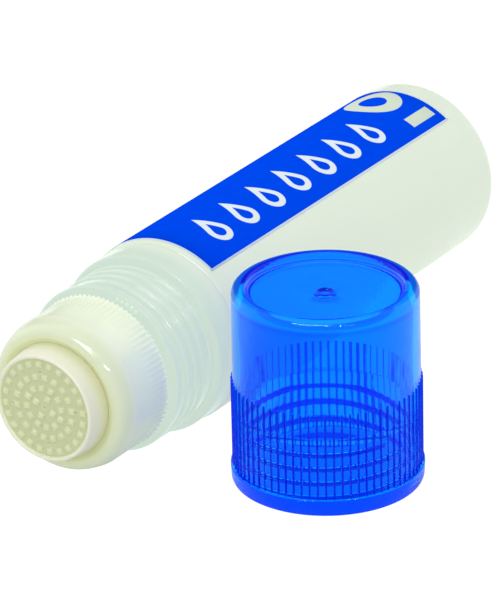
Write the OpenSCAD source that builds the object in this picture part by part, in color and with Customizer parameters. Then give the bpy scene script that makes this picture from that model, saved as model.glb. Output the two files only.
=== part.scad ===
// Glue applicator bottle lying on its side, with its screw cap taken off and stood
// mouth down beside it. Bottle, neck and head turn about one axis, which is drawn
// upright first and then laid along Y with the tip towards -Y. The cap has its own.

/* [Barrel] */
// Outside diameter of the barrel
barrel_d = 32; // [31:0.5:38]
// Height from the base to the step that the cap closes against
barrel_h = 90.3; // [86:0.5:120]
// Wall of the blown bottle
bottle_wall = 1.0; // [0.7:0.1:1.4]
// Rounding of the edge between barrel and base
base_round = 2.5; // [1.5:0.1:3.5]
// Width of the flat ring that the bottle stands on
foot_w = 2.4; // [1.5:0.1:4]
// Depth of the hollow inside that ring
base_recess = 1.2; // [0.6:0.1:2]
// How far the band under the step lies below the barrel
band_step = 0.3; // [0.1:0.05:0.5]
// Height of that band
band_h = 5.5; // [3:0.5:6]
// Rounding of the band's outer edge at the step
step_round = 0.5; // [0.2:0.1:0.8]

/* [Neck] */
// Outside diameter of the neck's thread
thread_d = 29; // [27:0.1:29.4]
// Height of the threaded neck
thread_h = 8.6; // [7:0.1:12]
// Groove between the thread and the ring
groove_w = 1.0; // [0.6:0.1:2]
// Depth of that groove
groove_depth = 0.7; // [0.3:0.1:1]
// Height of the ring above the thread
ring_h = 1.4; // [1:0.1:2]
// How far the ring lies below the thread's crests
ring_inset = 0.05; // [0:0.05:0.5]
// Teeth in each of the two ratchet groups on the ring
ratchet_teeth = 5; // [3:1:8]
// Height and width of one ratchet tooth
ratchet_size = 0.45; // [0.3:0.05:0.6]
// Wall of the neck inside the thread
neck_wall = 1.8; // [1.2:0.1:2.4]
// Wall of the spigot that carries the head
spigot_wall = 1.4; // [1:0.1:2]
// Height of the snap bead on the spigot
bead = 0.3; // [0.15:0.05:0.45]
// Height of the bead above the collar's rear edge
bead_h = 3; // [2:0.1:4]

/* [Collar] */
// Gap between the neck ring and the collar
collar_gap = 1.0; // [0.8:0.1:2]
// Height of the collar from its rear edge to its crest
collar_h = 12.6; // [11.5:0.1:16]
// Height of the collar's straight skirt, under its dome
skirt_h = 9.1; // [8:0.1:9.6]
// Wall of the collar's skirt
collar_wall = 1.0; // [0.8:0.1:1.2]
// Clearance between collar and spigot
collar_fit = 0.1; // [0.05:0.05:0.2]
// Clearance between the collar's ribs and the cap's thread
collar_clear = 0.25; // [0.15:0.05:0.5]
// Ribs round the collar's skirt
collar_ribs = 90; // [40:2:120]
// Height of one rib
collar_rib_h = 0.45; // [0.2:0.05:0.6]
// Length of the ribs
collar_rib_len = 5; // [3:0.5:7]
// Width of the gutter round the tip
gutter_w = 1.2; // [0.6:0.1:1.4]
// Depth of the gutter
gutter_depth = 0.6; // [0.3:0.1:1]
// Thickness of the lip that holds the tip in
lip_t = 1.2; // [0.8:0.1:1.6]

/* [Rubber tip] */
// Diameter of the tip where it leaves the collar
tip_d = 19.1; // [17:0.1:19.6]
// Clearance round the tip in the collar
tip_gap = 0.25; // [0.15:0.05:0.4]
// How far the tip stands out of the collar
tip_out = 4.4; // [3:0.1:5]
// How much the tip narrows towards its face, on the radius
tip_taper = 0.35; // [0:0.05:0.6]
// Width of the rounded rim round the face
rim_w = 0.6; // [0.4:0.1:1]
// Depth of the face below the rim
face_recess = 0.4; // [0.2:0.05:0.6]
// Thickness of the face
face_t = 1.5; // [1:0.1:2]
// Wall of the tip
tip_wall = 1.6; // [1.2:0.1:2]
// Thickness of the flange under the collar's lip
flange_t = 1.2; // [0.8:0.1:1.6]
// Clearance between flange and lip
flange_gap = 0.1; // [0.05:0.05:0.2]
// How far the tip yields when it is pressed
tip_travel = 1.0; // [0.5:0.1:1.5]
// Side of one square pip
pip_w = 0.95; // [0.6:0.05:1]
// Height of one pip
pip_h = 0.35; // [0.2:0.05:0.5]
// Diameter of a pinhole
pinhole_d = 0.5; // [0.3:0.05:0.6]
// Distance of the outer pinholes from the centre
pinhole_r = 6.2; // [6:0.1:6.6]

/* [Tip support] */
// Thickness of the support's walls and flange
support_t = 1.0; // [0.8:0.1:1.2]
// Clearance left under the tip when it is pressed right in
support_gap = 0.3; // [0.2:0.05:0.5]
// Clearance between the support's plug and the neck
plug_fit = 0.1; // [0.05:0.05:0.2]
// Length of the plug in the neck
plug_h = 3.5; // [2.5:0.1:5]
// Diameter of the flow holes
flow_hole_d = 2.6; // [1.5:0.1:3]
// Flow holes in the ring round the middle one
flow_holes = 6; // [4:1:6]

/* [Cap] */
// Clearance between the cap's bore and the neck's thread
cap_fit = 0.15; // [0.1:0.05:0.3]
// Depth of the cap's inner thread
cap_thread = 0.6; // [0.4:0.05:0.7]
// Wall of the cap
cap_wall = 0.65; // [0.5:0.05:0.8]
// Ribs round the cap
cap_ribs = 72; // [36:2:90]
// Height of one rib
cap_rib_h = 0.3; // [0.15:0.05:0.4]
// Height of the ribbed part, from the mouth
cap_rib_top = 17.7; // [14:0.1:24]
// Height of the smooth band at the mouth
cap_band_h = 2.8; // [2:0.1:4]
// How far the band stands proud of the ribs
cap_band_out = 0.25; // [0.1:0.05:0.35]
// How much the cap narrows over its smooth part, on the radius
cap_draft = 0.1; // [0:0.05:0.3]
// Room between the tip and the closed cap's ceiling
cap_headroom = 3.0; // [2:0.1:8]
// Thickness of the cap's top
cap_top = 1.2; // [0.8:0.1:1.6]
// Depth of the recess in the cap's top
cap_recess = 1.1; // [0.5:0.1:1.6]
// Width of the raised rim round that recess
cap_rim_w = 3.2; // [2.4:0.1:4]
// Rounding of the cap's top edge
cap_round = 1.3; // [0.6:0.1:1.5]
// Diameter of the moulding gate's dimple
gate_d = 2.6; // [1.6:0.1:3.4]
// Depth of that dimple
gate_depth = 0.35; // [0.2:0.05:0.5]
// Depth of the boss under the dimple
gate_boss = 0.9; // [0.6:0.1:1.2]

/* [Label and glue] */
// Length of the label along the barrel
label_len = 77.1; // [50:0.5:77.5]
// Distance from the base to the label
label_foot = 6.3; // [4:0.1:6.5]
// Thickness of the label film
label_t = 0.12; // [0.08:0.02:0.2]
// Bond gap between film and barrel
label_gap = 0.03; // [0.02:0.01:0.05]
// Angle round the barrel at which the label starts
label_from = 52.5; // [20:0.5:80]
// Angle that the label covers
label_sweep = 180; // [90:1:190]
// Gap between the glue and the bottle's wall
glue_gap = 0.1; // [0.05:0.05:0.2]
// Depth of the air space above the glue, under the highest part of the barrel
air_h = 3; // [1:0.1:8]

/* [Layout] */
// Gap between barrel and cap on the table
cap_apart = 2.85; // [2:0.05:12]
// Distance of the cap's axis behind the collar's rear edge
cap_behind = 14.1; // [4:0.1:60]

/* [Hidden] */
$fn = 96;
eps = 0.01;

// Half of a rib's foot and half of its flat crest, as shares of the ribs' pitch
rib_foot = 0.34;
rib_peak = 0.14;
// How deep a ring of ribs is rooted in its wall
rib_bite = 0.1;
// Height of the short chamfers at the cap's mouth and band
cap_edge = 0.3;
// Rounding between the inside of the cap and its ceiling
cap_in_round = 1;
// Teeth of the ratchet: where a group starts and the step, in degrees
ratchet_from = 60;
ratchet_step = 4;
// Rings of pips: count, share of the face's radius, and turn of the first in degrees
pip_rings = [[24, 0.883, 5.4], [18, 0.62, 6.3], [12, 0.393, 5.9], [4, 0.2, 65.5]];
// Pinholes in the ring round the middle one, and the turn of the first in degrees
pinholes = 4;
pinhole_from = 5;

// Radii that follow from the fits
barrel_r = barrel_d / 2;
band_r = barrel_r - band_step;
thread_r = thread_d / 2;
groove_r = thread_r - groove_depth;
ring_r = thread_r - ring_inset;
collar_rib_r = thread_r - cap_thread - collar_clear;
collar_r = collar_rib_r - collar_rib_h;
collar_in_r = collar_r - collar_wall;
spigot_r = collar_in_r - collar_fit;
bore_r = spigot_r - spigot_wall;
neck_in_r = thread_r - neck_wall;
tip_r = tip_d / 2;
hole_r = tip_r + tip_gap;
crest_r = hole_r + gutter_w;
dome_w = collar_r - crest_r;
rim_r = tip_r - tip_taper;
face_r = rim_r - rim_w;
cavity_r = tip_r - tip_wall;
flange_r = collar_in_r - support_gap;

// Heights above the base
ring_z = barrel_h + thread_h + groove_w;
neck_top = ring_z + ring_h;
collar_z = neck_top + collar_gap;
crest_z = collar_z + collar_h;
lip_z = crest_z - gutter_depth;
ceiling_z = lip_z - lip_t;
flange_z = ceiling_z - flange_gap - flange_t;
mouth_z = flange_z - tip_travel - support_gap - support_t;
tip_z = lip_z + tip_out;
face_z = tip_z - face_recess;
floor_z = base_recess + bottle_wall;
plug_z = mouth_z - plug_h;

// The cap
cap_bore_r = thread_r + cap_fit;
cap_root_r = cap_bore_r + cap_wall;
cap_rib_r = cap_root_r + cap_rib_h;
cap_max_r = cap_rib_r + cap_band_out;
cap_top_r = cap_root_r - cap_draft;
cap_in_r = collar_rib_r + collar_clear;
cap_ceiling = tip_z - barrel_h + cap_headroom;
cap_floor = cap_ceiling + cap_top;
cap_h = cap_floor + cap_recess;
cap_thread_h = thread_h + groove_w + ring_h + collar_gap;

// Places: the origin is under the middle of the whole part
left_x = barrel_r + label_gap + label_t;
cap_x = barrel_r + cap_apart + cap_max_r;
bottle_x = (left_x - cap_x - cap_max_r) / 2;
bottle_y = tip_z / 2;

// Points of an oval arc and of a round one, for outlines that are turned about the axis
function oval(x, y, rx, ry, from, to, n = 8) =
    [for (i = [0:n]) let (a = from + (to - from) * i / n) [x + rx * cos(a), y + ry * sin(a)]];
function arc(x, y, r, from, to, n = 8) = oval(x, y, r, r, from, to, n);

// Smooth rise from one point to another, level at both ends
function swell(x0, y0, x1, y1, n = 8) =
    [for (i = [0:n]) let (t = i / n) [x0 + (x1 - x0) * t, y0 + (y1 - y0) * (1 - cos(180 * t)) / 2]];

// A flat star: a ring of ridges with sloping sides, for ribbed skirts
module star(count, root, crest) {
    pitch = 360 / count;
    foot = pitch * rib_foot;
    peak = pitch * rib_peak;
    polygon([for (i = [0:count - 1], p = [[-foot, root], [-peak, crest], [peak, crest], [foot, root]])
        p[1] * [cos(i * pitch + p[0]), sin(i * pitch + p[0])]]);
}

// Lays an upright piece of the bottle on its side, tip towards -Y
module laid() {
    translate([bottle_x, bottle_y, barrel_r]) rotate([90, 0, 0]) children();
}

// Places a piece of the cap, upright on its mouth
module beside() {
    translate([bottle_x + cap_x, bottle_y - collar_z + cap_behind, 0]) children();
}

// Inside of the bottle, drawn in by g: the cavity itself, or the glue in it
function inside(g) =
    let (r = barrel_r - bottle_wall - g, corner = base_round - bottle_wall / 2)
    concat(
        [[0, floor_z + g]],
        arc(r - corner, floor_z + g + corner, corner, -90, 0),
        [[r, barrel_h - band_h - bottle_wall - g],
         [band_r - bottle_wall - g, barrel_h - band_h - g],
         [band_r - bottle_wall - g, barrel_h - bottle_wall - step_round - g],
         [neck_in_r - g, barrel_h + step_round],
         [neck_in_r - g, ring_z - bottle_wall - g],
         [bore_r - g, neck_top - bottle_wall]]);

module bottle() {
    bead_z = collar_z + bead_h;
    foot_in = barrel_r - base_round - foot_w;
    color("honeydew") laid() {
        rotate_extrude() difference() {
            polygon(concat(
                [[0, base_recess], [foot_in - base_recess, base_recess], [foot_in, 0]],
                arc(barrel_r - base_round, base_round, base_round, -90, 0),
                [[barrel_r, barrel_h - band_h - band_step], [band_r, barrel_h - band_h]],
                arc(band_r - step_round, barrel_h - step_round, step_round, 0, 90, 4),
                [[thread_r, barrel_h], [thread_r, barrel_h + thread_h],
                 [groove_r, barrel_h + thread_h], [groove_r, ring_z],
                 [ring_r, ring_z], [ring_r, neck_top], [spigot_r, neck_top],
                 [spigot_r, bead_z - 2 * bead], [spigot_r + bead, bead_z],
                 [spigot_r, bead_z + 2 * bead], [spigot_r, mouth_z], [0, mouth_z]]));
            polygon(concat(inside(0), [[bore_r, mouth_z + 1], [0, mouth_z + 1]]));
        }
        ratchet();
    }
}

// Two opposite groups of small teeth on the ring, which stop the head from turning back
module ratchet() {
    for (side = [0, 180], i = [0:ratchet_teeth - 1])
        rotate([0, 0, side + ratchet_from + i * ratchet_step])
            translate([ring_r - 2 * ratchet_size, -ratchet_size / 2, neck_top - eps])
                cube([ratchet_size, ratchet_size, ratchet_size]);
}

// The glue, level with the table because the bottle lies down
module glue_fill() {
    level = barrel_r - bottle_wall - air_h;
    color("lightyellow") laid() intersection() {
        rotate_extrude()
            polygon(concat(inside(glue_gap),
                [[bore_r - glue_gap, plug_z - glue_gap], [0, plug_z - glue_gap]]));
        translate([-barrel_r, -barrel_r, 0]) cube([barrel_d, barrel_r + level, tip_z]);
    }
}

module label() {
    color("royalblue") laid() rotate([0, 0, label_from])
        rotate_extrude(angle = label_sweep)
            translate([barrel_r + label_gap, label_foot]) square([label_t, label_len]);
}

// Perforated hat that seats on the mouth and keeps the tip from folding in
module tip_support() {
    hat_r = cavity_r - support_gap - tip_gap;
    hat_z = face_z - face_t - tip_travel - support_gap;
    plug_r = bore_r - plug_fit;
    color("white") laid() difference() {
        rotate_extrude() polygon([
            [0, hat_z], [hat_r, hat_z], [hat_r, mouth_z + support_t],
            [flange_r, mouth_z + support_t], [flange_r, mouth_z], [plug_r, mouth_z],
            [plug_r, plug_z], [plug_r - support_t, plug_z], [plug_r - support_t, mouth_z],
            [hat_r - support_t, mouth_z], [hat_r - support_t, hat_z - support_t],
            [0, hat_z - support_t]]);
        translate([0, 0, hat_z - 2 * support_t])
            for (i = [0:flow_holes])
                rotate([0, 0, i * 360 / flow_holes])
                    translate([i == flow_holes ? 0 : (hat_r + support_t) / 2, 0, 0])
                        cylinder(h = 3 * support_t, d = flow_hole_d);
    }
}

module rubber_tip() {
    color("cornsilk") laid() difference() {
        union() {
            rotate_extrude() polygon(concat(
                [[cavity_r, flange_z], [flange_r, flange_z], [flange_r, flange_z + flange_t],
                 [tip_r, flange_z + flange_t], [tip_r, lip_z]],
                arc(rim_r - rim_w / 2, tip_z - rim_w / 2, rim_w / 2, 0, 180, 8),
                [[face_r, face_z], [0, face_z], [0, face_z - face_t],
                 [cavity_r, face_z - face_t]]));
            for (ring = pip_rings, i = [0:ring[0] - 1])
                rotate([0, 0, ring[2] + i * 360 / ring[0]])
                    translate([face_r * ring[1] - pip_w / 2, -pip_w / 2, face_z - eps])
                        cube([pip_w, pip_w, pip_h + eps]);
        }
        translate([0, 0, face_z - face_t - 1])
            for (i = [0:pinholes])
                rotate([0, 0, pinhole_from + i * 360 / pinholes])
                    translate([i == pinholes ? 0 : pinhole_r, 0, 0])
                        cylinder(h = face_t + 2, d = pinhole_d, $fn = 24);
    }
}

module collar() {
    groove_z = collar_z + bead_h;
    color("whitesmoke") laid() {
        rotate_extrude() polygon(concat(
            [[collar_in_r, collar_z], [collar_r, collar_z]],
            oval(crest_r, collar_z + skirt_h, dome_w, collar_h - skirt_h, 0, 90, 12),
            swell(crest_r, crest_z, hole_r, lip_z),
            [[hole_r, ceiling_z], [collar_in_r, ceiling_z],
             [collar_in_r, groove_z + 2 * bead + collar_fit],
             [collar_in_r + bead, groove_z + collar_fit],
             [collar_in_r + bead, groove_z - collar_fit],
             [collar_in_r, groove_z - 2 * bead - collar_fit]]));
        translate([0, 0, collar_z]) linear_extrude(collar_rib_len) difference() {
            star(collar_ribs, collar_r - rib_bite, collar_rib_r);
            circle(r = collar_r - 2 * rib_bite);
        }
    }
}

module cap() {
    rim_in = cap_top_r - cap_rim_w;
    color("blue") beside() {
        rotate_extrude() polygon(concat(
            [[cap_bore_r + cap_edge, 0], [cap_max_r - cap_band_out, 0],
             [cap_max_r - cap_band_out / 2, cap_edge], [cap_max_r, cap_band_h - cap_edge],
             [cap_max_r - cap_band_out / 2, cap_band_h], [cap_root_r, cap_band_h],
             [cap_root_r, cap_rib_top]],
            arc(cap_top_r - cap_round, cap_h - cap_round, cap_round, 0, 90),
            swell(rim_in + cap_recess + cap_edge, cap_h, rim_in, cap_floor),
            [[gate_d / 2, cap_floor], [gate_d / 4, cap_floor - gate_depth],
             [gate_d / 8, cap_floor - gate_depth], [gate_d / 10, cap_floor - eps],
             [0, cap_floor - eps], [0, cap_ceiling - gate_boss],
             [gate_d / 4, cap_ceiling - gate_boss], [gate_d * 0.75, cap_ceiling]],
            arc(cap_in_r - cap_in_round, cap_ceiling - cap_in_round, cap_in_round, 90, 0, 6),
            [[cap_in_r, cap_thread_h + 1], [cap_bore_r, cap_thread_h],
             [cap_bore_r, cap_edge]]));
        translate([0, 0, cap_band_h - cap_edge])
            linear_extrude(cap_rib_top - cap_band_h + cap_edge) difference() {
                star(cap_ribs, cap_root_r - rib_bite, cap_rib_r);
                circle(r = cap_root_r - 2 * rib_bite);
            }
    }
}

bottle();
glue_fill();
label();
tip_support();
rubber_tip();
collar();
cap();
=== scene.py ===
import bpy
import bmesh
from math import atan2, cos, degrees, hypot, pi, radians, sin, tau
from mathutils import Euler, Matrix, Vector


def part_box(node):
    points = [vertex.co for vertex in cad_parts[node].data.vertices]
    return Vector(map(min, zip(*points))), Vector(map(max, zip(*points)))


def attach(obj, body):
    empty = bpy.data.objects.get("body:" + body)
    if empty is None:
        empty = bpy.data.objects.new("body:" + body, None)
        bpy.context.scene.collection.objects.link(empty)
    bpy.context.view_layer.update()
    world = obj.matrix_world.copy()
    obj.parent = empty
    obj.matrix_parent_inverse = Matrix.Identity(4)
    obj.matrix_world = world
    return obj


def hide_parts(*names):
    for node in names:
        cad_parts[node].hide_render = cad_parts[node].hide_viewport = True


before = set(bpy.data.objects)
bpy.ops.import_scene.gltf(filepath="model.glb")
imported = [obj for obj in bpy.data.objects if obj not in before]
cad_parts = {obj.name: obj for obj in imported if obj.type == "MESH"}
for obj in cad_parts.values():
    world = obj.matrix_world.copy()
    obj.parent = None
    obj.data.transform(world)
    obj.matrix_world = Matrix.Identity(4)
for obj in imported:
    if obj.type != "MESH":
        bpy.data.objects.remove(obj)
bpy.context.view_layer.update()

# ---- Bottle ---------------------------------------------------------------------------
# Blown in one piece from natural polyethylene: barrel, step, threaded neck, ring and the
# spigot that the collar snaps on. Milky, a little glossy, with faint lines along the
# barrel from the blown tube. Its finish glows, painted light that stands in for the light
# that milky walls carry on and fills their shade, most on the neck.
MM = 0.001               # names in capitals are in mm, or are counts or angles
BARREL_R, BAND_R, SPIGOT_R, BEAD_R, BORE_R = 16, 15.7, 12.1, 12.4, 10.7
CAVITY_R, BAND_IN_R, NECK_IN_R = 15, 14.7, 12.7
RECESS_R, RECESS_Z, BASE_ROUND, FLOOR_Z = 9.6, 1.2, 2.5, 2.2
BARREL_TOP, BAND_Z, STEP_Z, STEP_ROUND = 84.45, 84.9, 90.3, 0.5
THREAD_ROOT, THREAD_CREST, THREAD_PITCH, THREAD_TOP = 14.0, 14.5, 2.3, 98.75
THREAD_FROM, THREAD_TURNS = 91.1, 3.35
GROOVE_R, RING_R, RING_Z, NECK_TOP, MOUTH_Z, EDGE = 13.8, 14.45, 99.9, 101.3, 109.5, 0.2
RATCHET, RATCHET_STARTS, RATCHET_COUNT, RATCHET_STEP = 0.45, (60, 240), 5, 4
BOTTLE_COLUMNS = 192

bottle_low, bottle_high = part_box("bottle")
axis_x, axis_z = (bottle_low.x + bottle_high.x) / 2, (bottle_low.z + bottle_high.z) / 2
base_y = bottle_high.y


def on_bottle(r, z, turn=0):
    """The place r mm from the bottle's axis and z mm above its base, turned up from +X."""
    return Vector((axis_x + r * MM * cos(turn), base_y - z * MM, axis_z + r * MM * sin(turn)))


def from_bottle(place):
    """The radius and height in mm and the turn of a place, as on_bottle takes them."""
    x, z = (place[0] - axis_x) / MM, (place[2] - axis_z) / MM
    return hypot(x, z), (base_y - place[1]) / MM, atan2(z, x)


def arc(r, z, radius, start, stop, steps=5):
    """Outline points of a rounded edge with its centre at (r, z), in mm and degrees."""
    turns = [radians(start + (stop - start) * i / steps) for i in range(steps + 1)]
    return [(r + radius * cos(a), z + radius * sin(a)) for a in turns]


def bend(start, lean, pull, stop, steps):
    """Outline points of a smooth bend that runs from start towards lean, then by pull to stop."""
    points = []
    for i in range(steps + 1):
        t = i / steps
        shares = ((1 - t) ** 3, 3 * t * (1 - t) ** 2, 3 * t * t * (1 - t), t ** 3)
        points.append(tuple(sum(share * corner[k] for share, corner in zip(shares, (start, lean, pull, stop)))
                            for k in (0, 1)))
    return points


def rows(r, start, stop, count):
    """Evenly spaced outline points along a straight wall."""
    return [(r, start + (stop - start) * i / count) for i in range(count + 1)]


def draw_outline(name, points):
    """Extrudes one vertex from point to point, and stays in edit mode for the spin."""
    bpy.ops.object.select_all(action="DESELECT")
    bpy.ops.mesh.primitive_plane_add(size=MM, location=points[0])
    bpy.ops.object.transform_apply()
    piece = bpy.context.object
    piece.name = name
    bpy.ops.object.mode_set(mode="EDIT")
    bpy.ops.mesh.select_mode(type="VERT")
    bpy.ops.mesh.select_all(action="SELECT")
    bpy.ops.mesh.merge(type="CENTER")
    for here, there in zip(points, points[1:]):
        bpy.ops.mesh.extrude_vertices_move(TRANSFORM_OT_translate={"value": there - here})
    bpy.ops.mesh.select_all(action="SELECT")
    return piece


def close_piece(smooth=35):
    """Merges the seam and the poles, turns the faces out and leaves edit mode."""
    bpy.ops.mesh.select_all(action="SELECT")
    bpy.ops.mesh.remove_doubles(threshold=0.002 * MM)
    bpy.ops.mesh.normals_make_consistent(inside=False)
    bpy.ops.object.mode_set(mode="OBJECT")
    bpy.ops.object.shade_smooth_by_angle(angle=radians(smooth))


def raise_thread(piece, read, put, root, crest, pitch, first, turns, foot, peak):
    """Moves the rows of a plain wall out or in to a helical ridge that fades at its ends.

    The ridge starts at height first, and foot and peak are half its width as shares of the pitch.
    """
    fade_turn = 0.12
    for vertex in piece.data.vertices:
        r, z, turn = read(vertex.co)
        if abs(r - root) > 0.01:
            continue
        share = (turn % tau) / tau
        count = round((z - first) / pitch - share)
        along = count + share
        side = abs((z - first) / pitch - along)
        ridge = min(1, max(0, (foot - side) / (foot - peak)))
        fade = min(1, max(0, along / fade_turn), max(0, (turns - along) / fade_turn))
        lift = ridge * ridge * (3 - 2 * ridge) * fade
        vertex.co = put(root + (crest - root) * lift, z, turn)


outline = (
    [(0, RECESS_Z), (6, RECESS_Z), (RECESS_R, RECESS_Z), (10.0, 1.05), (10.9, 0.15), (11.2, 0)]
    + arc(BARREL_R - BASE_ROUND, BASE_ROUND, BASE_ROUND, -90, 0, 10)
    + [(BARREL_R, 20), (BARREL_R, 40), (BARREL_R, 60), (BARREL_R, BARREL_TOP)]
    + [(15.94, 84.6), (15.76, 84.72), (BAND_R, BAND_Z), (BAND_R, 87)]
    + arc(BAND_R - STEP_ROUND, STEP_Z - STEP_ROUND, STEP_ROUND, 0, 90)
    + arc(THREAD_ROOT + 0.25, STEP_Z + 0.25, 0.25, -90, -180, 3)
    + rows(THREAD_ROOT, STEP_Z + 0.4, THREAD_TOP, 66)
    + [(GROOVE_R, 98.9), (GROOVE_R, RING_Z)]
    + arc(RING_R - EDGE, RING_Z + EDGE, EDGE, -90, 0, 3)
    + arc(RING_R - EDGE, NECK_TOP - EDGE, EDGE, 0, 90, 3)
    + [(SPIGOT_R, NECK_TOP), (SPIGOT_R, 104.7), (BEAD_R, 105.3), (SPIGOT_R, 105.9)]
    + arc(SPIGOT_R - EDGE, MOUTH_Z - EDGE, EDGE, 0, 90, 3)
    + [(BORE_R, MOUTH_Z), (BORE_R, 100.3), (NECK_IN_R, 98.9), (NECK_IN_R, 90.8), (BAND_IN_R, 88.8)]
    + [(BAND_IN_R, 84.8), (CAVITY_R, 83.8), (CAVITY_R, 45)]
    + arc(CAVITY_R - 2, FLOOR_Z + 2, 2, 0, -90, 5)
    + [(0, FLOOR_Z)])
bottle = draw_outline("bottle_body", [on_bottle(r, z) for r, z in outline])
bpy.ops.mesh.spin(steps=BOTTLE_COLUMNS, angle=tau, center=on_bottle(0, 0), axis=(0, 1, 0))
close_piece()
raise_thread(bottle, from_bottle, on_bottle, THREAD_ROOT, THREAD_CREST, THREAD_PITCH,
             THREAD_FROM, THREAD_TURNS, foot=0.19, peak=0.05)

# Two groups of five small blocks on the ring stop the collar from turning back.
for start in RATCHET_STARTS:
    for i in range(RATCHET_COUNT):
        turn = radians(start + RATCHET_STEP * i)
        bpy.ops.object.select_all(action="DESELECT")
        bpy.ops.mesh.primitive_cube_add(
            size=RATCHET * MM, rotation=(0, -turn, 0),
            location=on_bottle(RING_R - 1.5 * RATCHET, NECK_TOP + 0.48 * RATCHET, turn))
        bpy.ops.object.mode_set(mode="EDIT")
        bpy.ops.mesh.bevel(offset=0.08 * MM, segments=2)
        bpy.ops.object.mode_set(mode="OBJECT")
        bottle.select_set(True)
        bpy.context.view_layer.objects.active = bottle
        bpy.ops.object.join()


class Tint:
    """A value in a material's nodes. Sums on it add Math nodes; node adds any other."""

    def __init__(self, material, socket=None):
        self.material, self.socket = material, socket

    def plug(self, socket, value):
        if isinstance(value, Tint):
            value = value.socket
        if isinstance(value, bpy.types.NodeSocket):
            self.material.node_tree.links.new(value, socket)
        else:
            socket.default_value = value

    def node(self, kind, settings, sockets, output=0):
        made = self.material.node_tree.nodes.new("ShaderNode" + kind)
        for name, value in settings.items():
            setattr(made, name, value)
        for name, value in sockets.items():
            self.plug(made.inputs[name], value)
        return Tint(self.material, made.outputs[output])

    def beside(self, output):
        """Another output of the node that made this value."""
        return Tint(self.material, self.socket.node.outputs[output])

    def axes(self):
        """The three parts of a place."""
        split = self.node("SeparateXYZ", {}, {"Vector": self})
        return split, split.beside(1), split.beside(2)

    def math(self, operation, *values):
        return self.node("Math", {"operation": operation}, dict(enumerate(values)))

    def reach(self, other):
        """The distance that this and other give as the two sides of a right angle."""
        return self.math("SQRT", self * self + other * other)

    def most(self, other):
        return self.math("MAXIMUM", self, other)

    def least(self, other):
        return self.math("MINIMUM", self, other)

    def __add__(self, other):
        return self.math("ADD", self, other)

    def __sub__(self, other):
        return self.math("SUBTRACT", self, other)

    def __rsub__(self, other):
        return self.math("SUBTRACT", other, self)

    def __mul__(self, other):
        return self.math("MULTIPLY", self, other)

    def __truediv__(self, other):
        return self.math("DIVIDE", self, other)

    __radd__, __rmul__ = __add__, __mul__

    def abs(self):
        return self.math("ABSOLUTE", self)

    def below(self, edge, soft):
        """1 where the value is under edge and 0 above it, with a ramp soft wide."""
        return self.node("MapRange", {"interpolation_type": "SMOOTHSTEP"}, {
            "Value": self, "From Min": edge - soft / 2, "From Max": edge + soft / 2,
            "To Min": 1.0, "To Max": 0.0})

    def mix(self, low, high):
        """The colour that runs from low to high as the value runs from 0 to 1."""
        return self.node("Mix", {"data_type": "RGBA"}, {0: self, 6: low, 7: high}, output=2)


def new_finish(name, **sockets):
    """A material with a Principled shader whose even sockets are set straight away."""
    material = bpy.data.materials.new(name)
    material.use_nodes = True
    shader = material.node_tree.nodes["Principled BSDF"]
    for socket, value in sockets.items():
        shader.inputs[socket.replace("_", " ").title().replace("Ior", "IOR")].default_value = value
    start = Tint(material)
    place = start.node("TexCoord", {}, {}, output="Object")
    return material, shader, start, place


def noise(place, scale, detail=2.0, stretch=(1, 1, 1)):
    """Noise on a place in metres, with scale lumps to the metre."""
    pulled = place.node("Mapping", {}, {"Vector": place, "Scale": stretch})
    return pulled.node("TexNoise", {}, {"Vector": pulled, "Scale": scale, "Detail": detail})


def add_bump(shader, height, distance):
    """Feeds a height from 0 to 1 to the shader as a bump of that distance in metres."""
    bump = height.node("Bump", {}, {"Height": height, "Distance": distance, "Strength": 1.0})
    bump.plug(shader.inputs["Normal"], bump)


polythene, shader, start, place = new_finish(
    "milky_polythene", ior=1.5, specular_ior_level=0.2, subsurface_weight=1.0, subsurface_scale=0.001)
shader.inputs["Subsurface Radius"].default_value = (1.0, 1.1, 0.8)
streaks = noise(place, 260, 3.0, (1, 0.03, 1))
clouds = noise(place, 60)
shade = streaks * 0.6 + clouds * 0.4
x, y, z = place.axes()
neck = 1 - ((base_y - y) / MM).below(86.5, 4.0)
walls = shade.mix((0.35, 0.395, 0.335, 1), (0.395, 0.44, 0.375, 1))
# Painted light: the neck has a darker base and a stronger glow than the barrel, which flattens its shade.
start.plug(shader.inputs["Base Color"], neck.mix(walls, (0.165, 0.195, 0.17, 1)))
start.plug(shader.inputs["Emission Color"], neck.mix((0.423, 0.47, 0.398, 1), (0.508, 0.607, 0.525, 1)))
shader.inputs["Emission Strength"].default_value = 1.0
start.plug(shader.inputs["Roughness"], 0.17 - neck * 0.1 + noise(place, 900) * 0.1)
add_bump(shader, streaks * 0.7 + noise(place, 700) * 0.3, 0.06 * MM)
bottle.data.materials.append(polythene)
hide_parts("bottle")
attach(bottle, "bottle")

# ---- Glue and tip support ---------------------------------------------------------------
# The glue lies level in the barrel, and the white moulded support sits on the mouth under
# the tip. Both are the solids as built, seen only when a piece over them is taken away.
glue, shader, start, place = new_finish("clear_glue", roughness=0.05, ior=1.4, transmission_weight=0.9)
start.plug(shader.inputs["Base Color"], noise(place, 80).mix((0.9, 0.92, 0.8, 1), (0.95, 0.95, 0.86, 1)))
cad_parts["glue_fill"].data.materials.clear()
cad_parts["glue_fill"].data.materials.append(glue)
white_plug, shader, start, place = new_finish("white_support", roughness=0.4)
start.plug(shader.inputs["Base Color"], noise(place, 300).mix((0.82, 0.84, 0.8, 1), (0.88, 0.89, 0.86, 1)))
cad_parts["tip_support"].data.materials.clear()
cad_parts["tip_support"].data.materials.append(white_plug)

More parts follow.
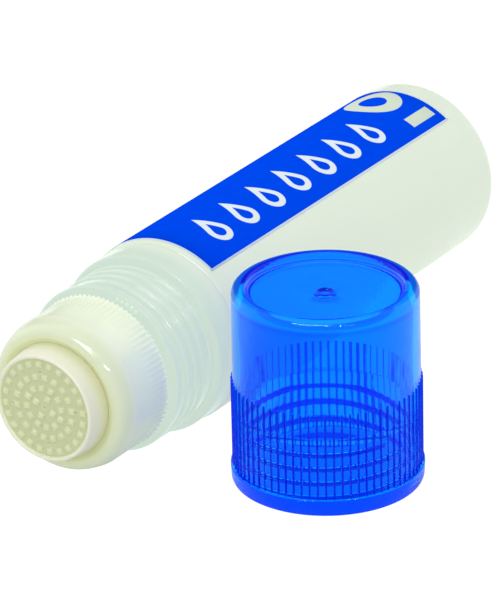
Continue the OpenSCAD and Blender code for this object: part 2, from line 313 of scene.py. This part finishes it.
# ---- Label ------------------------------------------------------------------------------
# A printed film, stuck round half of the barrel, over its top and left side: blue with a
# thin white margin, a row of white drops, and a ring and a bar near the base that are bare.
LABEL_R, LABEL_T, LABEL_FOOT, LABEL_LENGTH = 16.03, 0.12, 6.3, 77.1
LABEL_FROM, LABEL_TURN, LABEL_MARGIN, SOFT = 52.5, 180, 0.38, 0.1
DROP_R, DROP_LENGTH, DROP_PITCH, DROP_FIRST, DROP_UP = 2.35, 5.6, 8.2, 18.1, 5.4
ROW_MIDDLE, ROW_HALF, STROKE = 42.7, 28.7, 1.16
RING_ALONG, RING_UP, RING_MIDDLE_R, RING_HALF = 6.3, 12.6, 3.9, 1.35
BAR_ALONG, BAR_UP, BAR_HALF_LENGTH, BAR_HALF_WIDTH = 5.2, 3.4, 3.6, 1.2

strip = draw_outline("label_film", [
    on_bottle(LABEL_R, LABEL_FOOT + LABEL_LENGTH * i / 12, radians(LABEL_FROM)) for i in range(13)])
bpy.ops.mesh.spin(steps=90, angle=radians(LABEL_TURN), center=on_bottle(0, 0), axis=(0, 1, 0))
close_piece()
film = strip.modifiers.new("film", "SOLIDIFY")
film.thickness, film.offset = LABEL_T * MM, 1
bpy.ops.object.modifier_apply(modifier="film")

ink, shader, start, place = new_finish(
    "printed_film", ior=1.5, specular_ior_level=0.0, specular_tint=(0.1, 0.3, 1.0, 1))
x, y, z = place.axes()
turn = start.math("ARCTAN2", z - axis_z, x - axis_x) * degrees(1) + 360
around = (turn.math("MODULO", turn, 360) - LABEL_FROM) * radians(LABEL_R)
along = (base_y - y) / MM - LABEL_FOOT


def drop(across, up, radius, height):
    """Distance in mm to a drop: a round foot, drawn out to a point."""
    lean = radius / height
    side = (1 - lean * lean) ** 0.5
    across = across.abs()
    foot = across.reach(up) - radius
    flank = across * side + up * lean - radius
    on_foot = (up * side - across * lean).below(0, 0.01)
    over = up - height
    point = across.reach(over)
    past = (across * -lean + up * side).below(height * side, 0.01)
    body = on_foot * foot + (1 - on_foot) * flank
    return body * past + (1 - past) * point


from_first = along - DROP_FIRST
from_next = from_first.math("PINGPONG", from_first, DROP_PITCH / 2)
outside = drop(from_next, around - DROP_UP, DROP_R, DROP_LENGTH)
drops = (outside + 0.55).abs().below(STROKE / 2, SOFT) * (along - ROW_MIDDLE).abs().below(ROW_HALF, 0.05)
from_middle = (along - RING_ALONG).reach(around - RING_UP)
ring = (from_middle - RING_MIDDLE_R).abs().below(RING_HALF, SOFT)
past_end, past_side = (along - BAR_ALONG).abs() - BAR_HALF_LENGTH, (around - BAR_UP).abs() - BAR_HALF_WIDTH
bare = ring.most(past_end.most(past_side).below(0, SOFT))
from_edge = along.least(LABEL_LENGTH - along).least(around).least(radians(LABEL_TURN) * LABEL_R - around)
white = drops.most(from_edge.below(LABEL_MARGIN, SOFT))
grain = noise(place, 500, 3.0)
blue = grain.mix((0.0, 0.062, 0.86, 1), (0.0, 0.078, 0.94, 1))
start.plug(shader.inputs["Base Color"],
           white.mix(bare.mix(blue, (0.70, 0.80, 0.66, 1)), (0.80, 0.90, 0.95, 1)))
start.plug(shader.inputs["Roughness"], 0.2 + grain * 0.06)
add_bump(shader, noise(place, 220), 0.02 * MM)
strip.data.materials.append(ink)
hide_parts("label")
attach(strip, "bottle")

# ---- Collar -----------------------------------------------------------------------------
# The moulded polypropylene collar snaps on the spigot and holds the tip. Short ribs that
# fade forward run round its rear edge, and its dome turns in to a gutter. One rib's
# slice is modelled, then copied round the axis and merged.
COLLAR_Z, COLLAR_R, COLLAR_IN_R, COLLAR_RIBS, COLLAR_RIB_R = 102.3, 13.2, 12.2, 90, 13.65
SKIRT_Z, CREST_R, CREST_Z, HOLE_R, LIP_Z, CEILING_Z = 111.4, 11.0, 114.9, 9.72, 114.3, 113.1


def select_where(piece, read, test):
    """Selects the vertices whose radius, height and turn pass the test."""
    shape = bmesh.from_edit_mesh(piece.data)
    for vertex in shape.verts:
        vertex.select_set(test(*read(vertex.co)))
    shape.select_flush_mode()
    bmesh.update_edit_mesh(piece.data)


def spin_columns(steps, axis, centre, pitch):
    """Spins the outline on by each step, a share of the pitch, so that columns crowd a rib."""
    for share in steps:
        bpy.ops.mesh.spin(steps=1, angle=pitch * share, center=centre, axis=axis)


def copy_round(count, axis, centre):
    """Copies one slice round the axis until it closes."""
    bpy.ops.mesh.select_all(action="SELECT")
    bpy.ops.mesh.spin(steps=count - 1, angle=tau * (count - 1) / count, dupli=True,
                      center=centre, axis=axis)


# Heights of the ribs' rows, with the share of a full rib that each has.
rib_heights = [(102.3, 0.72), (102.4, 0.75), (102.7, 0.6), (103.2, 0.22),
               (104, 0.12), (106.5, 0.1), (107, 0.06)]
outline = (
    [(COLLAR_IN_R, COLLAR_Z)] + [(COLLAR_R, z) for z, share in rib_heights]
    + [(COLLAR_R, 107.32), (COLLAR_R, 109), (COLLAR_R, 111), (COLLAR_R, SKIRT_Z - 0.1)]
    + bend((COLLAR_R - 0.02, SKIRT_Z + 0.1), (12.75, 113.6), (12.4, CREST_Z), (CREST_R, CREST_Z), 16)
    + [(CREST_R + (HOLE_R - CREST_R) * i / 8, (CREST_Z + LIP_Z) / 2 + (CREST_Z - LIP_Z) / 2 * cos(pi * i / 8))
       for i in range(1, 9)]
    + [(HOLE_R, CEILING_Z), (COLLAR_IN_R, CEILING_Z), (COLLAR_IN_R, 106), (12.5, 105.4), (12.5, 105.2)]
    + [(COLLAR_IN_R, 104.6), (COLLAR_IN_R, COLLAR_Z)])
collar = draw_outline("head_collar", [on_bottle(r, z) for r, z in outline])
slice_turn = tau / COLLAR_RIBS
spin_columns([0.1, 0.12, 0.12, 0.1, 0.28, 0.28], (0, 1, 0), on_bottle(0, 0), slice_turn)
for height, share in rib_heights:
    for column, lift in ((0.1, 0.75), (0.22, 1), (0.34, 0.75)):
        select_where(collar, from_bottle, lambda r, z, turn: (
            abs(z - height) < 0.01 and abs(r - COLLAR_R) < 0.01
            and abs(turn / slice_turn - column) < 0.02))
        grown = (COLLAR_R + (COLLAR_RIB_R - COLLAR_R) * share * lift) / COLLAR_R
        bpy.ops.transform.resize(value=(grown, 1, grown), center_override=on_bottle(0, height))
copy_round(COLLAR_RIBS, (0, 1, 0), on_bottle(0, 0))
close_piece(50)

polypropylene, shader, start, place = new_finish(
    "milky_polypropylene", ior=1.5, subsurface_weight=1.0, subsurface_scale=0.001)
shader.inputs["Subsurface Radius"].default_value = (1.0, 1.0, 1.0)
x, y, z = place.axes()
radius = (x - axis_x).reach(z - axis_z) / MM
height = (base_y - y) / MM
# The dome is yellower where the cream flange lies under it, and darker: painted shade. The gutter at the
# tip's root is darker still: painted shade in the hollow.
front = 1 - height.below(112, 3.0)
gutter = radius.below(CREST_R - 0.1, 2.2) * front
cloud = noise(place, 200)
pale = cloud.mix((0.80, 0.855, 0.735, 1), (0.83, 0.88, 0.77, 1))
pale = front.mix(pale, (0.72, 0.78, 0.62, 1))
start.plug(shader.inputs["Base Color"], gutter.mix(pale, (0.70, 0.72, 0.50, 1)))
# Painted light: the collar glows a little, which lifts its shade.
shader.inputs["Emission Color"].default_value = (0.11, 0.12, 0.06, 1)
shader.inputs["Emission Strength"].default_value = 1.0
start.plug(shader.inputs["Roughness"], 0.05 + cloud * 0.05)
tool_marks = height.math("SINE", height * (2.2 * tau))
add_bump(shader, tool_marks * 0.12 + noise(place, 800) * 0.1, 0.02 * MM)
collar.data.materials.append(polypropylene)
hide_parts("collar")
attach(collar, "bottle")

# ---- Rubber tip -------------------------------------------------------------------------
# Soft cream silicone, moulded as a cup with a rounded rim. Rings of square pips and five
# pinholes with raised edges cover its sunk face. It is pressed in to let the glue out.
TIP_ROOT, TIP_RIM, TIP_RIM_W, FACE_R, FACE_Z = 9.7, 9.2, 0.6, 8.6, 118.3
FLANGE_R, FLANGE_Z, FLANGE_TOP, HOLLOW_R = 11.9, 111.8, 113, 7.95
TIP_COLUMNS, FACE_ROWS, PIP_W, PIP_H, PIP_EDGE = 360, 72, 1.0, 0.3, 0.5
PIP_RINGS = ((24, 7.58, 5.4), (18, 5.35, 6.3), (12, 3.4, 5.9), (4, 1.72, 65.5))  # count, radius, turn
PINHOLES, PINHOLE_REACH, PINHOLE_TURN, PINHOLE_R, PINHOLE_DEPTH = 4, 6.2, 5, 0.24, 0.35
LIP_R, LIP_W, LIP_H = 0.34, 0.2, 0.1

outline = (
    [(0, 116.8), (HOLLOW_R - 0.2, 116.8), (HOLLOW_R, 116.6), (HOLLOW_R, FLANGE_Z)]
    + [(FLANGE_R, FLANGE_Z), (FLANGE_R, FLANGE_TOP), (TIP_ROOT, FLANGE_TOP)]
    + [(TIP_ROOT, 114.4), (TIP_ROOT - 0.04, 114.8)]
    + [(TIP_ROOT - 0.1, 114.88), (TIP_ROOT - 0.08, 115), (TIP_ROOT - 0.3, 117)]
    + arc(TIP_RIM - TIP_RIM_W / 2, FACE_Z + 0.1, TIP_RIM_W / 2, 10, 180, 10) + [(FACE_R, FACE_Z + 0.06)]
    + [(FACE_R - 0.06 - (FACE_R - 0.06) * i / FACE_ROWS, FACE_Z) for i in range(FACE_ROWS + 1)])
tip = draw_outline("applicator_tip", [on_bottle(r, z) for r, z in outline])
bpy.ops.mesh.spin(steps=TIP_COLUMNS, angle=tau, center=on_bottle(0, 0), axis=(0, 1, 0))
close_piece()

for vertex in tip.data.vertices:
    r, z, turn = from_bottle(vertex.co)
    if abs(z - FACE_Z) > 0.001 or r > FACE_R - 0.05:
        continue
    for count, reach, first in PIP_RINGS:
        step = tau / count
        side = (turn - radians(first) + step / 2) % step - step / 2
        across, out = abs(r * sin(side)), abs(r * cos(side) - reach)
        edge = PIP_W / 2 - (across ** 6 + out ** 6) ** (1 / 6)
        slope = min(1, max(0, edge / PIP_EDGE + 0.5))
        z += PIP_H * slope * slope * (3 - 2 * slope)
    for i in range(PINHOLES + 1):
        hub = radians(PINHOLE_TURN) + tau / PINHOLES * i
        reach = PINHOLE_REACH if i < PINHOLES else 0
        away = hypot(r * cos(turn) - reach * cos(hub), r * sin(turn) - reach * sin(hub))
        z += LIP_H * max(0, 1 - abs(away - LIP_R) / LIP_W)
        z -= PINHOLE_DEPTH * max(0, min(1, (PINHOLE_R - away) / 0.1))
    vertex.co = on_bottle(r, z, turn)

silicone, shader, start, place = new_finish(
    "cream_silicone", ior=1.42, subsurface_weight=1.0, subsurface_scale=0.0008)
shader.inputs["Subsurface Radius"].default_value = (1.0, 0.9, 0.6)
x, y, z = place.axes()
radius = (x - axis_x).reach(z - axis_z) / MM
height = (base_y - y) / MM
# Painted shade: the sunk face is darker and yellower than the cream, and less so on the pips' tops.
sunk = radius.below(FACE_R - 0.1, 0.3) * (1 - height.below(FACE_Z - 0.3, 0.1))
sunk = sunk * (0.7 + 0.3 * height.below(FACE_Z + PIP_H / 2, 0.2))
# Painted shade: the side turns darker and yellower towards its root, where it meets the collar.
root = height.below(115.9, 2.6)
cream = noise(place, 240).mix((0.895, 0.945, 0.71, 1), (0.93, 0.975, 0.78, 1))
shaded_face = sunk.mix(cream, (0.72, 0.77, 0.47, 1))
start.plug(shader.inputs["Base Color"], root.mix(shaded_face, (0.82, 0.82, 0.56, 1)))
start.plug(shader.inputs["Roughness"], 0.38 + noise(place, 900) * 0.14)
add_bump(shader, noise(place, 1200, 3.0), 0.03 * MM)
tip.data.materials.append(silicone)
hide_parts("rubber_tip")
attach(tip, "rubber_tip")

# ---- Cap --------------------------------------------------------------------------------
# Clear blue polystyrene, moulded with thin ribs for the fingers, a smooth band at the
# mouth, a screw thread inside and a sunk top with the mark of the moulding gate. It
# stands on its mouth beside the bottle. One rib's slice is modelled and copied round.
CAP_RIBS, CAP_ROOT, CAP_CREST, CAP_BAND_R, CAP_TOP_R = 72, 15.3, 15.6, 15.85, 15.2
CAP_HEIGHT, CAP_FLOOR, CAP_CEILING, CAP_ROUND = 33.7, 32.6, 31.4, 1.3
CAP_BORE, CAP_IN = 14.65, 13.9
RIB_FOOT, RIB_TOP = 2.8, 17.7
COIL_FROM, COIL_PITCH, COIL_TURNS, COIL_DEPTH = 0.87, 2.5, 3.95, 0.6
GATE_R, BOSS_R, BOSS_Z, GATE_Z, DISC_R = 1.33, 1.95, 31.0, 32.0, 12.0
EJECTOR_R, EJECTOR_X, EJECTOR_Y = 0.75, -4.39, 4.0

cap_low, cap_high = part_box("cap")
cap_x, cap_y = (cap_low.x + cap_high.x) / 2, (cap_low.y + cap_high.y) / 2


def on_cap(r, z, turn=0):
    """The place r mm from the cap's axis and z mm above the table."""
    return Vector((cap_x + r * MM * cos(turn), cap_y + r * MM * sin(turn), z * MM))


def from_cap(place):
    """The radius and height in mm and the turn of a place, as on_cap takes them."""
    x, y = (place[0] - cap_x) / MM, (place[1] - cap_y) / MM
    return hypot(x, y), place[2] / MM, atan2(y, x)


rib_heights = [(17.66, 0.9), (17.5, 1), (2.9, 1)]
outline = (
    [(0, GATE_Z), (0.6, 32.02), (0.9, 32.1), (1.15, 32.3), (GATE_R - 0.05, 32.52), (GATE_R + 0.05, CAP_FLOOR)]
    + [(GATE_R + 0.15, CAP_FLOOR), (6, CAP_FLOOR), (DISC_R - 0.2, CAP_FLOOR), (DISC_R, CAP_FLOOR + 0.01)]
    + [(12.2, 32.66), (12.5, 32.9), (12.75, 33.2), (13.0, 33.48), (13.3, 33.65), (13.6, CAP_HEIGHT)]
    + arc(CAP_TOP_R - CAP_ROUND, CAP_HEIGHT - CAP_ROUND, CAP_ROUND, 90, 0, 10)
    + [(15.25, 25), (CAP_ROOT, 17.72)] + [(CAP_ROOT, z) for z, share in rib_heights]
    + [(CAP_ROOT, RIB_FOOT), (CAP_BAND_R - 0.15, RIB_FOOT)]
    + arc(CAP_BAND_R - 0.15, RIB_FOOT - 0.15, 0.15, 90, 0, 3)
    + [(15.75, 0.5)] + arc(15.35, 0.3, 0.3, 0, -90, 4)
    + [(15.0, 0.0)] + arc(15.0, 0.3, 0.3, -90, -180, 3)
    + rows(CAP_BORE, 0.6, 12.0, 100)
    + [(CAP_IN + 0.05, 12.9), (CAP_IN, 13.2), (CAP_IN, 22)]
    + arc(CAP_IN - 0.6, 31.95, 0.6, 0, 90, 6) + arc(CAP_IN - 0.8, 31.95, 0.6, 110, 180, 3)
    + [(12.4, 31.55), (12.2, 31.42), (DISC_R, CAP_CEILING), (6, CAP_CEILING), (2.1, CAP_CEILING)]
    + [(BOSS_R, 31.38), (0.6, 31.05), (0.3, BOSS_Z), (0, BOSS_Z)])
cap = draw_outline("screw_cap", [on_cap(r, z) for r, z in outline])
slice_turn = tau / CAP_RIBS
spin_columns([0.07, 0.07, 0.07, 0.07, 0.36, 0.36], (0, 0, -1), on_cap(0, 0), slice_turn)
for height, share in rib_heights:
    for column, lift in ((0.07, 0.75), (0.14, 1), (0.21, 0.75)):
        select_where(cap, from_cap, lambda r, z, turn: (
            abs(z - height) < 0.01 and abs(r - CAP_ROOT) < 0.01
            and abs(turn / slice_turn - column) < 0.02))
        grown = (CAP_ROOT + (CAP_CREST - CAP_ROOT) * share * lift) / CAP_ROOT
        bpy.ops.transform.resize(value=(grown, grown, 1), center_override=on_cap(0, height))
copy_round(CAP_RIBS, (0, 0, -1), on_cap(0, 0))
close_piece(50)
raise_thread(cap, from_cap, on_cap, CAP_BORE, CAP_BORE - COIL_DEPTH, COIL_PITCH,
             COIL_FROM, COIL_TURNS, foot=0.2, peak=0.05)

styrene, shader, start, place = new_finish(
    "clear_blue_styrene", ior=1.53, transmission_weight=1.0, roughness=0.03, specular_ior_level=0.3)
x, y, z = place.axes()
x, y, height = (x - cap_x) / MM, (y - cap_y) / MM, z / MM
radius = x.reach(y)
turn = x.math("ARCTAN2", y, x) * (1 / tau) + 1
across = turn.math("FRACT", turn * CAP_RIBS)
# Painted shade: the ribs, the thread inside and the wall of the gate's dimple are dark blue, standing in for
# the dark that their refraction shows.
rib = (across - 0.14).abs().below(0.13, 0.1) * height.below(RIB_TOP, 0.2) * (1 - height.below(RIB_FOOT, 0.2))
rib = rib * (1 - radius.below(CAP_ROOT - 0.3, 0.1))
coil = height.math("FRACT", (height - COIL_FROM) / COIL_PITCH - turn + 9.5)
coil = (coil - 0.5).abs().below(0.19, 0.08) * radius.below(CAP_BORE - 0.02, 0.05) * height.below(12, 0.2)
top = 1 - height.below(31.2, 0.4)
# Painted shade: a dark ring round the steep inner wall of the rim. The ejector pin's mark is a faint ring of
# the same blue.
rings = (radius - 12.85).abs().below(0.45, 0.3) * (1 - height.below(32.4, 0.2))
gate = (radius - GATE_R + 0.23).abs().below(0.3, 0.1) * (1 - height.below(31.9, 0.1))
boss = radius.below(BOSS_R, 0.1) * height.below(31.37, 0.02) * (1 - height.below(30.8, 0.1))
ejector = ((x - EJECTOR_X).reach(y - EJECTOR_Y) - EJECTOR_R).abs().below(0.1, 0.08)
wall = height.below(RIB_TOP, 0.3).mix((0.0, 0.47, 0.96, 1), (0.0, 0.5, 0.9, 1))
wall = height.below(RIB_FOOT, 0.2).mix(wall, (0.0, 0.24, 0.92, 1))
lid = radius.below(12.4, 0.4).mix((0.0, 0.34, 1.0, 1), (0.0, 0.70, 1.0, 1))
lid = (rings * 0.8 + ejector * 0.3).mix(lid, (0.0, 0.1, 0.9, 1))
wall = boss.mix(top.mix(wall, lid), (0.0, 0.35, 0.95, 1))
start.plug(shader.inputs["Base Color"], (rib.most(coil) + gate).mix(wall, (0.0, 0.004, 0.36, 1)))
# Painted light: the cap glows a little blue all over, and lighter on its outer shoulder, which lifts the
# shade there.
shoulder_glow = (1 - height.below(32.0, 0.8)) * (1 - radius.below(13.7, 0.3))
start.plug(shader.inputs["Emission Color"], shoulder_glow.mix((0.0, 0.02, 1.0, 1), (0.0, 0.8, 1.0, 1)))
shader.inputs["Emission Strength"].default_value = 0.12
shader.inputs["Specular Tint"].default_value = (0.1, 0.45, 1.0, 1)
add_bump(shader, noise(place, 300), 0.004 * MM)
absorb = start.node("VolumeAbsorption", {}, {"Color": (0.0, 0.975, 0.998, 1), "Density": 2500.0})
start.plug(styrene.node_tree.nodes["Material Output"].inputs["Volume"], absorb)
cap.data.materials.append(styrene)
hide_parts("cap")
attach(cap, "cap")

# ---- Table and light --------------------------------------------------------------------
# A table that glows white to the camera, so that no shadow shows on it, in a white tent.
# A first mirror image sees the tent bright, but for a dark part behind the object. Under
# the cap the table glows blue to light that has come through plastic: a painted pool of
# the cap's blue light. Three lamps near the camera show only in gloss, as small
# highlights. From here on lengths are in metres, but for the lens.
TABLE_WIDTH = 6
bpy.ops.mesh.primitive_plane_add(size=TABLE_WIDTH)
table = bpy.context.object
table.name = "table"
paper = bpy.data.materials.new("white_table")
paper.use_nodes = True
sheet = Tint(paper)
x, y, z = sheet.node("TexCoord", {}, {}, output="Object").axes()
under = ((x - cap_x).reach(y - cap_y) / MM).below(15, 1.0)
seen = sheet.node("LightPath", {}, {}, output="Is Camera Ray")
through = seen.beside("Is Transmission Ray")
straight = seen.beside("Diffuse Depth").below(0.5, 0.1)
# Painted light: a pool of blue light under the cap, dimmer for light that has bounced.
shine = straight.mix((0.0, 0.06, 0.12, 1), (0.0, 0.22, 1.1, 1))
shine = (under * through).mix((1.08, 1.08, 1.08, 1), shine)
glow = sheet.node("Emission", {}, {"Color": shine, "Strength": 1.0})
dull = sheet.node("BsdfDiffuse", {}, {"Color": (0.76, 0.76, 0.76, 1)})
both = sheet.node("MixShader", {}, {0: seen.most(through), 1: dull, 2: glow})
sheet.plug(paper.node_tree.nodes["Material Output"].inputs["Surface"], both)
table.data.materials.append(paper)

VIEW_AZIMUTH, BEHIND = radians(33.12), radians(24)
tent = bpy.data.worlds.new("tent")
tent.use_nodes = True
cloth = Tint(tent)
away = Vector((-sin(VIEW_AZIMUTH) * cos(BEHIND), cos(VIEW_AZIMUTH) * cos(BEHIND), sin(BEHIND)))
sky = cloth.node("TexCoord", {}, {}, output="Generated")
behind = sky.node("VectorMath", {"operation": "DOT_PRODUCT"}, {0: sky, 1: away}, output="Value")
backdrop = tent.node_tree.nodes["Background"]
backdrop.inputs["Color"].default_value = (1, 1, 1, 1)
path = cloth.node("LightPath", {}, {}, output="Is Glossy Ray")
mirrored = path * path.beside("Transmission Depth").below(0.5, 0.1)
overhead = Vector((-0.42, 0.24, 0.87))
lit = sky.node("VectorMath", {"operation": "DOT_PRODUCT"}, {0: sky, 1: overhead}, output="Value")
cloth.plug(backdrop.inputs["Strength"], 0.86 + 0.18 * lit - 0.93 * mirrored * (1 - behind.below(0.85, 0.2)))
bpy.context.scene.world = tent


LAMP_DISTANCE, LIT_SPOT = 0.8, Vector((0, -0.03, 0.015))


def add_lamp(name, azimuth, elevation, width, depth, power):
    """A lamp seen only in gloss that faces the bottle's head; azimuth turns from -Y to +X."""
    azimuth, elevation = radians(azimuth), radians(elevation)
    bpy.ops.object.light_add(type="AREA")
    lamp = bpy.context.object
    lamp.name = name
    lamp.data.shape, lamp.data.size, lamp.data.size_y = "RECTANGLE", width, depth
    lamp.data.energy = power
    towards = Vector((sin(azimuth) * cos(elevation), -cos(azimuth) * cos(elevation), sin(elevation)))
    lamp.location = LIT_SPOT + towards * LAMP_DISTANCE
    lamp.rotation_euler = towards.to_track_quat("Z", "Y").to_euler()
    lamp.visible_diffuse = lamp.visible_transmission = False


add_lamp("lamp_left", 12, 55, width=0.5, depth=0.05, power=6.0)
add_lamp("lamp_right", 60, 36, width=0.25, depth=0.05, power=4.0)
add_lamp("lamp_front", 5, 37, width=0.25, depth=0.025, power=1.3)

# ---- Camera -----------------------------------------------------------------------------
# A long lens, a good way off, looks down on the tip and along the bottle.
VIEW_ELEVATION, VIEW_ROLL = radians(24.02), radians(-1.37)
VIEW_DISTANCE, LENS = 0.740, 270
target = Vector((-0.0016, -0.0217, 0.0240))
turn = Euler((pi / 2 - VIEW_ELEVATION, 0, VIEW_AZIMUTH)).to_matrix()
turn = (turn @ Matrix.Rotation(VIEW_ROLL, 3, "Z")).to_4x4()
bpy.ops.object.camera_add()
camera = bpy.context.object
camera.matrix_world = Matrix.Translation(target) @ turn @ Matrix.Translation((0, 0, VIEW_DISTANCE))
camera.data.lens = LENS
camera.data.sensor_width = 36
camera.data.clip_end = 10
bpy.context.scene.camera = camera
bpy.context.scene.view_settings.view_transform = "Standard"
